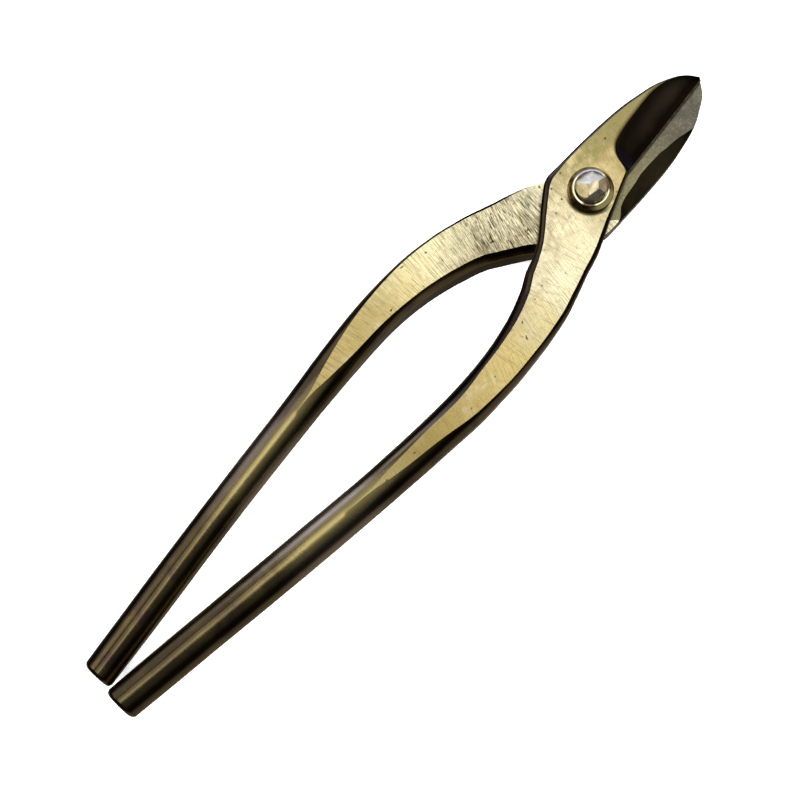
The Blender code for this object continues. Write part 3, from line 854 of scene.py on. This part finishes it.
def sectionAt(shape, side, high, low, shrink=1.0):
    # Each corner's point on the flat and point on the side: share across, height,
    # roundness (hollow when negative). Face inner, under inner, under outer, face outer.
    place = (high.x + low.x) / 2
    face, under = heights(shape, place)
    depth, width = face - under, (high - low).length
    if place >= 0:
        (scoop, topWidth, topDrop, underWidth, underDrop, scooped) = follow(
            bladeBevels, place / shape["bladeLength"])
        lowWidth, lowDrop = scoop, barBevels[0][2]
        underLowWidth = underLowDrop = roundness = draft = 0
    else:
        (lowWidth, lowDrop, topWidth, topDrop, underWidth, underDrop, underLowWidth, underLowDrop,
         roundness) = follow(barBevels, -place / shape["handleLength"])
        scooped, draft = 0, follow(innerDraft, -place / shape["handleLength"])[0]
        twist = follow(ownTwists[side], -place / shape["handleLength"])[0]
        lowWidth, topWidth = lowWidth + twist, topWidth - twist
    lowDrop = mix(lowDrop, (depth - shape["edgeRise"]) / depth, scooped)
    lean = min(shape["edgeLean"] / width, shape["leanLimit"]) * scooped
    corners = (
        (1 - topWidth, face, max(roundness, shape["rimRoundness"])), (1, face - topDrop * depth, 0),
        (1 - underWidth, under, roundness), (1 - draft, under + underDrop * depth, 0),
        (underLowWidth, under, roundness), (0, under + underLowDrop * depth, 0),
        (lowWidth, face, mix(max(roundness, shape["rimRoundness"]), -shape["hollow"], scooped)),
        (lean, face - lowDrop * depth, 0),
    )
    corners = [(share, height * shrink, bend) for share, height, bend in corners]
    middle = (high + low) / 2
    return {
        "high": middle.lerp(high, shrink), "low": middle.lerp(low, shrink),
        "corners": corners, "scooped": scooped,
    }


def leverSections(shape, side, endSteps=8, barSteps=150, crossingSteps=34, bladeSteps=90):
    sections = []
    high, low = barSides(shape, side, 1.0)
    across = (high - low).normalized()
    forward = Vector((across.y, -across.x))
    high, low = high - forward * shape["endSlant"], low + forward * shape["endSlant"]
    for step in range(endSteps + 1):
        turn = math.pi / 2 * step / endSteps
        rounding = shape["endRounding"]
        shrink = 1 - rounding * (1 - math.sin(turn)) / shape["rodRadius"]
        shift = forward * rounding * (1 - math.cos(turn))
        section = sectionAt(shape, side, high, low, shrink)
        section["high"], section["low"] = section["high"] + shift, section["low"] + shift
        sections.append(section)
    for step in range(barSteps - 1, -1, -1):
        high, low = barSides(shape, side, step / barSteps)
        lag = max(step / barSteps - shape["slantStart"], 0) / (1 - shape["slantStart"])
        shift = forward * shape["endSlant"] * lag ** 2
        sections.append(sectionAt(shape, side, high - shift, low + shift))
    for step in range(crossingSteps + 1):
        sections.append(sectionAt(shape, side, *crossingSides(shape, side, step / crossingSteps)))
    for step in range(1, bladeSteps + 1):
        share = step / bladeSteps
        sections.append(sectionAt(shape, side, *bladeSides(shape, side, share)))
    return sections


def railMesh(sections):
    # One vertex for each section, which carries the section's measures
    middles = [((part["high"] + part["low"]) / 2).to_3d() for part in sections]
    mesh = bpy.data.meshes.new("leverRail")
    mesh.from_pydata(middles, [(i, i + 1) for i in range(len(middles) - 1)], [])
    run, along = 0.0, []
    for before, here in zip([middles[0]] + middles, middles):
        run += (here - before).length
        along.append(run)
    nearest = min(range(len(middles)), key=lambda i: abs(middles[i].x))
    columns = {
        "highPoint": [part["high"].to_3d() for part in sections],
        "lowPoint": [part["low"].to_3d() for part in sections],
    }
    for corner in range(8):
        columns[f"corner{corner}"] = [part["corners"][corner] for part in sections]
    for name, values in columns.items():
        layer = mesh.attributes.new(name, "FLOAT_VECTOR", "POINT")
        layer.data.foreach_set("vector", [number for value in values for number in value])
    for name, values in (
        ("alongLever", [value - along[nearest] for value in along]),
        ("scooped", [part["scooped"] for part in sections]),
    ):
        mesh.attributes.new(name, "FLOAT", "POINT").data.foreach_set("value", values)
    return mesh


def newTree(name, inputs):
    # A geometry tree, its inputs as wires and, by the same names, as identifiers
    tree = bpy.data.node_groups.new(name, "GeometryNodeTree")
    for way in ("INPUT", "OUTPUT"):
        tree.interface.new_socket("Geometry", in_out=way, socket_type="NodeSocketGeometry")
    names = {}
    for label, kind, value in inputs:
        socket = tree.interface.new_socket(label, in_out="INPUT", socket_type=f"NodeSocket{kind}")
        if value is not None:
            socket.default_value = value
        names[label] = socket.identifier
    entry = tree.nodes.new("NodeGroupInput")
    given = {socket.name: Wire(tree, socket) for socket in entry.outputs if socket.name}
    return tree, given, names


def readLayer(tree, name, kind="FLOAT"):
    return addWire(tree, "GeometryNodeInputNamedAttribute", {"Name": name}, data_type=kind)


def storeLayer(geometry, name, value, kind="FLOAT", domain="POINT"):
    inputs = {"Name": name, "Value": value}
    return geometry.through(
        "GeometryNodeStoreNamedAttribute", inputs, data_type=kind, domain=domain
    )


def storeOrder(geometry, name):
    return storeLayer(geometry, name, addWire(geometry.tree, "GeometryNodeInputIndex"))


def chooseRun(run, values):
    node = addNode(run.tree, "GeometryNodeIndexSwitch", data_type="VECTOR")
    while len(node.index_switch_items) < len(values):
        node.index_switch_items.new()
    for socket, value in zip(list(node.inputs), [run] + values):
        run.tree.links.new(value.socket, socket)
    return Wire(run.tree, node.outputs[0])


rodStart = -150 * mm  # along the lever: further back there is no flat


def sweepTree():
    # Sweeps a ring of eight runs, four corners and the four walls between them,
    # along the rail, and shapes each ring from the measures that the rail carries
    tree, given, names = newTree("sweepForging", (("Points in a Run", "Int", 8),))
    points = given["Points in a Run"]
    ring = addWire(tree, "GeometryNodeCurvePrimitiveCircle", {"Resolution": points * 8.0})
    ring = storeOrder(ring, "around")
    skin = given["Geometry"].through("GeometryNodeMeshToCurve").through(
        "GeometryNodeCurveToMesh", {"Profile Curve": ring, "Fill Caps": True}
    )
    around, alongLever, scooped = [
        readLayer(tree, name) for name in ("around", "alongLever", "scooped")
    ]
    high, low, *corners = [
        readLayer(tree, name, "FLOAT_VECTOR")
        for name in ("highPoint", "lowPoint", *(f"corner{index}" for index in range(8)))
    ]

    # Which run a point is in, and how far it lies from one corner's point to the next
    run = ((around + 0.01) / points).calc("FLOOR")
    step = (around - run * points) / points
    isTurned = (run % 4.0).near(2.0)
    t = step + isTurned * (1.0 - step * 2.0)
    near = chooseRun(run, [corners[i] for i in (0, 1, 2, 2, 4, 5, 6, 6)])
    far = chooseRun(run, [corners[i] for i in (1, 3, 3, 4, 5, 7, 7, 0)])

    # Corners are round, or hollow where the bend is negative; walls are straight
    bend = near.parts()[2] * (1.0 - run % 2.0)
    turn = t * (math.pi / 2)
    sine, rest = turn.calc("SINE"), 1.0 - turn.calc("COSINE")
    weights = []
    for plain, hollow in ((sine, rest), (rest, sine)):
        bent = (bend < 0.0).blend(plain, hollow, "FLOAT")
        weights.append(abs(bend).blend(t, bent, "FLOAT"))
    step = join(tree, *weights).vector("MULTIPLY", far.vector("SUBTRACT", near))
    across, height, _ = near.vector("ADD", step).parts()
    place = across.blend(low, high, "VECTOR").vector("ADD", join(tree, 0, 0, height))

    # The layout in metres; how far in from the scoop's border, and 1 on the spine's
    # bevel and side; and the zones: 0 forged, 1 ground flat, 2 scoop, 3 edge bevel
    width = high.vector("SUBTRACT", low).vector("LENGTH", output="Value")
    lay = join(tree, alongLever, across * width)
    inside = (across - corners[6].parts()[0]) * width
    rim = join(tree, inside + (scooped < 0.2), run < 1.5)
    isFlat = run.near(3.0).calc("MAXIMUM", run.near(7.0)) * (alongLever > rodStart)
    isScoop, isEdge = run.near(6.0) * 2.0, run.near(5.0) * 3.0
    zone = isFlat + (isScoop + isEdge) * (scooped > 0.3)
    skin = storeLayer(skin, "zone", zone, domain="FACE")
    skin = storeLayer(skin, "lay", lay, "FLOAT2", "CORNER")
    skin = storeLayer(skin, "rim", rim, "FLOAT2", "CORNER")
    skin = skin.through("GeometryNodeSetPosition", {"Position": place})
    addNode(tree, "NodeGroupOutput", {0: skin.through("GeometryNodeRealizeInstances")})
    return tree, names


def skinTree():
    # Shallow hammer dents in what the grinder left alone, then the finish of each zone
    zones = ("Forged", "Ground", "Scoop", "Edge")
    tree, given, names = newTree("forgedSkin", (
        ("Dent Depth", "Float", 0.05 * mm), ("Dents in a Metre", "Float", 160.0), ("Seed", "Float", 3.0),
        *((label, "Material", None) for label in zones)
    ))
    zone = readLayer(tree, "zone")
    spot = addWire(tree, "GeometryNodeInputPosition")
    inputs = {"Vector": spot, "W": given["Seed"], "Scale": given["Dents in a Metre"], "Detail": 1.0}
    dents = addWire(tree, "ShaderNodeTexNoise", inputs, noise_dimensions="4D")
    free = spot.parts()[0].ramp(-0.030, -0.045, "LINEAR")
    depth = given["Dent Depth"] * ((zone < 0.01) * free) * (dents * -1.0)
    inward = addWire(tree, "GeometryNodeInputNormal").through(
        "ShaderNodeVectorMath", {"Scale": depth}, operation="SCALE"
    )
    skin = given["Geometry"].through("GeometryNodeSetPosition", {"Offset": inward})
    skin = skin.through("GeometryNodeRealizeInstances")
    for number, label in enumerate(zones):
        inputs = {"Selection": zone.near(float(number), 0.4), "Material": given[label]}
        skin = skin.through("GeometryNodeSetMaterial", inputs)
    addNode(tree, "NodeGroupOutput", {0: skin})
    return tree, names


steelShape = {
    "thickness": 2.0 * mm,
    "tailRadius": 7.3 * mm,      # its end behind the pivot is round
    "tailTurns": (102.0, 242.0),
    "tailSteps": 48,
    "bladeSteps": 110,
    "shoulder": 11.1 * mm,       # its corner beside the pivot, cut off slantwise to here
    "shoulderCut": (-1.0 * mm, 9.1 * mm),
    "back": 0.9 * mm,            # its reach behind the pivot on the edge side
    "backWidth": 0.79,           # and there its width, as a share of half the head's
    "overrun": 2.0 * mm,
}


def steelOutline(shape, side, grow, reach):
    # Seen from above: the edge side to the tip, back along the border to the shoulder
    # and round the tail
    outline = [(-steelShape["back"] - grow, -shape["headHalfWidth"] * steelShape["backWidth"] - reach)]
    border = []
    steps = steelShape["bladeSteps"]
    for step in range(steps + 1):
        high, low = bladeSides(shape, side, step / steps)
        wide = follow(bladeBevels, step / steps)[3]
        outline.append((low.x, low.y - reach))
        border.append((low.x, mix(high.y, low.y, wide) + grow))
    for line in (outline, border):
        line[-1] = (line[-1][0] + reach, line[-1][1])
    border = [point for point in border if point[1] < steelShape["shoulder"] + grow]
    outline += reversed(border)
    cutBack, cutUp = steelShape["shoulderCut"]
    outline.append((cutBack - grow / 2, cutUp + grow))
    steps = steelShape["tailSteps"]
    for step in range(steps + 1):
        turn = math.radians(mix(*steelShape["tailTurns"], step / steps))
        radius = steelShape["tailRadius"] + grow
        outline.append((radius * math.cos(turn), radius * math.sin(turn)))
    return outline


def plate(name, outline, bottom, top):
    mesh = bpy.data.meshes.new(name)
    with reworked(mesh) as body:
        low, high = [[body.verts.new((x, y, height)) for x, y in outline] for height in (bottom, top)]
        for index in range(len(outline)):
            after = (index + 1) % len(outline)
            body.faces.new((low[index], low[after], high[after], high[index]))
        body.faces.new(low)
        body.faces.new(high)
        bmesh.ops.recalc_face_normals(body, faces=body.faces)
    return mesh


forging = {
    "pointsInRun": 8,
    "seam": 0.05 * mm,
    "boreRadius": 3.7 * mm,
    "dentDepth": 0.06 * mm,
    "dentsInMetre": 150.0,
    "dentSeed": 3.0,
    "sharpAngle": 24.0,
}


def cutOut(thing, cutter):
    cut = thing.modifiers.new(cutter.name, "BOOLEAN")
    cut.operation = "DIFFERENCE"
    cut.solver = "EXACT"
    cut.object = cutter


def smoothMesh(mesh):
    mesh.shade_smooth()
    mesh.set_sharp_from_angle(angle=math.radians(forging["sharpAngle"]))


def pocketCutter(side, place):
    low, overrun = leverShape["halfGap"], steelShape["overrun"]
    outline = steelOutline(leverShape, side, forging["seam"], overrun)
    top = low + steelShape["thickness"] + forging["seam"]
    mesh = plate("pocketCutter", outline, low - overrun, top)
    mesh.transform(place)
    return linkObject(f"{side}PocketCutter", mesh)


def boreCutter(radius, height, segments=96):
    mesh = bpy.data.meshes.new("boreCutter")
    with reworked(mesh) as body:
        bmesh.ops.create_cone(
            body, cap_ends=True, segments=segments, radius1=radius, radius2=radius, depth=2 * height
        )
        bmesh.ops.translate(body, verts=body.verts, vec=(0, 0, height))
    return linkObject("boreCutter", mesh)


def layIn(side, place, bore, body):
    # The hard steel, as an outline plate with the bore taken out
    low = leverShape["halfGap"]
    outline = steelOutline(leverShape, side, 0, 0)
    mesh = plate("hardSteelPlate", outline, low, low + steelShape["thickness"])
    mesh.transform(place)
    raw = linkObject(f"{side}SteelRaw", mesh)
    for finish in (hardSteel, steelWall, blackEdge):
        mesh.materials.append(finish)
    for face in mesh.polygons:
        facing = face.normal.z * (1 if side == "front" else -1)
        face.material_index = 0 if facing < -0.5 else 1 if facing < 0.5 else 2
    cutOut(raw, bore)
    finished = bakeDown(raw, f"{side}LetInSteel")
    smoothMesh(finished)
    piece = linkObject(f"{side}LetInSteel", finished)
    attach(piece, body)
    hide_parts(f"{side}_blade_steel")


def sweepForging(side):
    rail = linkObject("leverRail", railMesh(leverSections(leverShape, side)))
    tree, names = sweepTree()
    sweep = rail.modifiers.new("sweep", "NODES")
    sweep.node_group = tree
    sweep[names["Points in a Run"]] = forging["pointsInRun"]
    mesh = bakeDown(rail, "sweptForging")
    closeAndTurnOut(mesh)
    return mesh


def finishLever(side, turn, ground, bore, body):
    mesh = sweepForging(side)
    mesh.materials.append(forgedScale)
    place = Matrix.Translation((0, 0, planeHeight)) @ Matrix.Rotation(turn, 4, "X")
    mesh.transform(place)
    raw = linkObject(f"{side}Raw", mesh)
    layIn(side, place, bore, body)
    cutOut(raw, pocketCutter(side, place))
    cutOut(raw, bore)
    tree, names = skinTree()
    skin = raw.modifiers.new("skin", "NODES")
    skin.node_group = tree
    for label, value in (
        ("Dent Depth", forging["dentDepth"]), ("Dents in a Metre", forging["dentsInMetre"]),
        ("Seed", forging["dentSeed"]), ("Forged", forgedScale), ("Ground", ground),
        ("Scoop", blackScoop), ("Edge", blackEdge),
    ):
        skin[names[label]] = value
    finished = bakeDown(raw, f"{side}Forging")
    smoothMesh(finished)
    with reworked(finished) as parted:
        for edge in parted.edges:
            if len({face.material_index for face in edge.link_faces}) > 1:
                edge.smooth = False
    piece = linkObject(f"{side}Forging", finished)
    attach(piece, body)
    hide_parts(f"{side}_lever")
    print(side, "lever forged,", len(finished.polygons), "faces")


bore = boreCutter(forging["boreRadius"], 2 * planeHeight)
finishLever("front", 0, frontGround, bore, "front_half")
finishLever("rear", math.pi, rearGround, bore, "rear_half")
for thing in [thing for thing in bpy.data.objects if thing.name.endswith("Cutter")]:
    bpy.data.objects.remove(thing)


turnedPieces = {
    "segments": 96,
    "rivetRadius": 4.5 * mm,
    "shankRadius": 3.6 * mm,
    "headBase": 8.5 * mm,        # from the plane between the levers, on both sides
    "frontRim": 1.0 * mm,
    "frontDome": 4.2 * mm,
    "frontTop": 1.3 * mm,
    "facetHeight": 2.5 * mm,
    "rearRim": 0.5 * mm,
    "rearDome": 1.4 * mm,
    "rearTop": 2.6 * mm,
    "washerSeat": 7.2 * mm,
    "washerRadius": 6.6 * mm,
    "washerBore": 3.7 * mm,
    "washerFoot": 0.15 * mm,     # its lowest edge lies this far in
    "rimOuter": 5.42 * mm,
    "rimInner": 4.66 * mm,
    "washerFloor": 1.1 * mm,
    "frontWasher": 2.7 * mm,
    "rearWasher": 1.7 * mm,
    # each facet: degrees round the axis, place out along the radius, slope in degrees
    "facets": ((134.0, 0.20, 31.0), (83.0, 0.16, 35.0), (25.5, 0.32, 33.0), (321.5, 0.40, 33.0),
               (257.0, 0.46, 33.0)),
    "headAside": (0.42 * mm, 0.20 * mm, 0),  # the head was filed off centre
    "arris": 0.05 * mm,          # the facets' worn edges
    "arrisAngle": 12.0,
}


def turningTree():
    # Turns the profile that the mesh draws in X and Z about the Z axis
    tree, given, names = newTree("turnedPiece", (("Segments", "Int", 96), ("Finish", "Material", None)))
    fromAxis, _, alongAxis = addWire(tree, "GeometryNodeInputPosition").parts()
    profile = storeLayer(given["Geometry"], "fromAxis", fromAxis)
    profile = storeLayer(profile, "alongAxis", alongAxis).through("GeometryNodeMeshToCurve")
    circle = addWire(tree, "GeometryNodeCurvePrimitiveCircle", {"Resolution": given["Segments"]})
    circle = storeOrder(circle, "turn")
    skin = circle.through("GeometryNodeCurveToMesh", {"Profile Curve": profile})
    turn, fromAxis, alongAxis = [
        readLayer(tree, name) for name in ("turn", "fromAxis", "alongAxis")
    ]
    turn = turn / given["Segments"] * math.tau
    place = join(tree, fromAxis * turn.calc("COSINE"), fromAxis * turn.calc("SINE"), alongAxis)
    skin = skin.through("GeometryNodeSetPosition", {"Position": place})
    skin = skin.through("GeometryNodeMergeByDistance", {"Distance": weldDistance})
    skin = skin.through("GeometryNodeRealizeInstances")
    skin = skin.through("GeometryNodeSetMaterial", {"Material": given["Finish"]})
    addNode(tree, "NodeGroupOutput", {0: skin})
    return tree, names


turning, turningNames = turningTree()


def turnPiece(name, profile, closed, finish):
    mesh = bpy.data.meshes.new(name)
    edges = [(i, i + 1) for i in range(len(profile) - 1)]
    if closed:
        edges.append((len(profile) - 1, 0))
    mesh.from_pydata([(radius, 0, height) for radius, height in profile], edges, [])
    thing = linkObject(f"{name}Profile", mesh)
    lathe = thing.modifiers.new("lathe", "NODES")
    lathe.node_group = turning
    lathe[turningNames["Segments"]] = turnedPieces["segments"]
    lathe[turningNames["Finish"]] = finish
    turned = bakeDown(thing, name)
    closeAndTurnOut(turned)
    return turned


def washerProfile(height):
    # Base, rounded shoulder, a narrow rim and the seat inside it
    sizes = turnedPieces
    outer, rimOuter, rimInner = sizes["washerRadius"], sizes["rimOuter"], sizes["rimInner"]
    roundOff = 0.24 * (rimOuter - rimInner)
    shoulder = ((0.18, 0.0), (0.42, 0.22), (0.66, 0.58), (0.86, 0.90))  # up, inwards
    profile = [(sizes["washerBore"], 0), (outer - sizes["washerFoot"], 0), (outer, 0.10 * height)]
    shoulderSteps, roundSteps = 15, 5
    for step in range(shoulderSteps + 1):
        up = mix(shoulder[0][0], shoulder[-1][0], step / shoulderSteps)
        profile.append((mix(outer, rimOuter, follow(shoulder, up)[0]), height * up))
    turns = [math.pi / 2 * step / roundSteps for step in range(roundSteps + 1)]
    for turn in turns:
        profile.append((
            rimOuter - roundOff * (1 - math.cos(turn)), height - roundOff * (1 - math.sin(turn))
        ))
    for turn in turns:
        profile.append((
            rimInner + roundOff * (1 - math.sin(turn)), height - roundOff * (1 - math.cos(turn))
        ))
    profile += [(rimInner, sizes["washerFloor"]), (sizes["washerBore"], sizes["washerFloor"])]
    return profile


def domeProfile(end, steps=14):
    # The rivet's front or rear head
    radius, base = turnedPieces["rivetRadius"], turnedPieces["headBase"] + turnedPieces[f"{end}Rim"]
    full = math.acos(turnedPieces[f"{end}Top"] / radius)
    points = [(radius, turnedPieces["headBase"]), (radius, base)]
    for step in range(1, steps + 1):
        turn = full * step / steps
        rise = turnedPieces[f"{end}Dome"] * math.sin(turn) / math.sin(full)
        points.append((radius * math.cos(turn), base + rise))
    return points


def rivetMesh():
    front, rear = domeProfile("front"), domeProfile("rear")
    shank, base = turnedPieces["shankRadius"], turnedPieces["headBase"]
    profile = [(0, -rear[-1][1])] + [(radius, -height) for radius, height in reversed(rear)]
    profile += [(shank, -base), (shank, base)] + front + [(0, front[-1][1])]
    mesh = turnPiece("facetedRivet", profile, False, rivetBronze)
    fileFacets(mesh)
    for vertex in mesh.vertices:
        if vertex.co.z > base + 0.1 * mm:
            vertex.co += Vector(turnedPieces["headAside"])
    return mesh


def fileFacets(mesh):
    # Each filed flat is a plane that takes the dome's cap off
    sizes = turnedPieces
    upward = Vector((0, 0, 1))
    top = upward * (sizes["headBase"] + sizes["frontRim"] + sizes["facetHeight"])
    planes = [(top, upward)]
    for degrees, share, slope in sizes["facets"]:
        turn, slope = math.radians(degrees), math.radians(slope)
        outward = Vector((math.cos(turn), math.sin(turn), 0))
        point = outward * sizes["rivetRadius"] * share + top
        planes.append((point, outward * math.sin(slope) + upward * math.cos(slope)))
    with reworked(mesh) as body:
        for point, normal in planes:
            cut = bmesh.ops.bisect_plane(
                body, geom=[*body.verts, *body.edges, *body.faces], plane_co=point, plane_no=normal,
                dist=weldDistance, clear_outer=True
            )
            edges = [item for item in cut["geom_cut"] if isinstance(item, bmesh.types.BMEdge)]
            bmesh.ops.holes_fill(body, edges=edges)
        bmesh.ops.recalc_face_normals(body, faces=body.faces)


def seatTurned(name, mesh, place, node, arris=0.0):
    mesh.transform(place)
    piece = linkObject(name, mesh)
    if arris:
        soften = piece.modifiers.new("arris", "BEVEL")
        soften.width = arris
        soften.segments = 2
        soften.limit_method = "ANGLE"
        soften.angle_limit = math.radians(turnedPieces["arrisAngle"])
        mesh = bakeDown(piece, name)
        piece = linkObject(name, mesh)
    smoothMesh(mesh)
    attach(piece, "rear_half")
    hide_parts(node)


middle = Matrix.Translation((0, 0, planeHeight))
upright = Matrix.Translation((0, 0, turnedPieces["washerSeat"]))
turnedOver = Matrix.Rotation(math.pi, 4, "X")
for side, place in (("front", middle @ upright), ("rear", middle @ turnedOver @ upright)):
    name = f"{side}DishedWasher"
    mesh = turnPiece(name, washerProfile(turnedPieces[f"{side}Washer"]), True, washerBronze)
    seatTurned(name, mesh, place, f"{side}_washer")
seatTurned(
    "facetedRivet", rivetMesh(), middle, "pivot_rivet", turnedPieces["arris"]
)
print("rivet and washers turned")
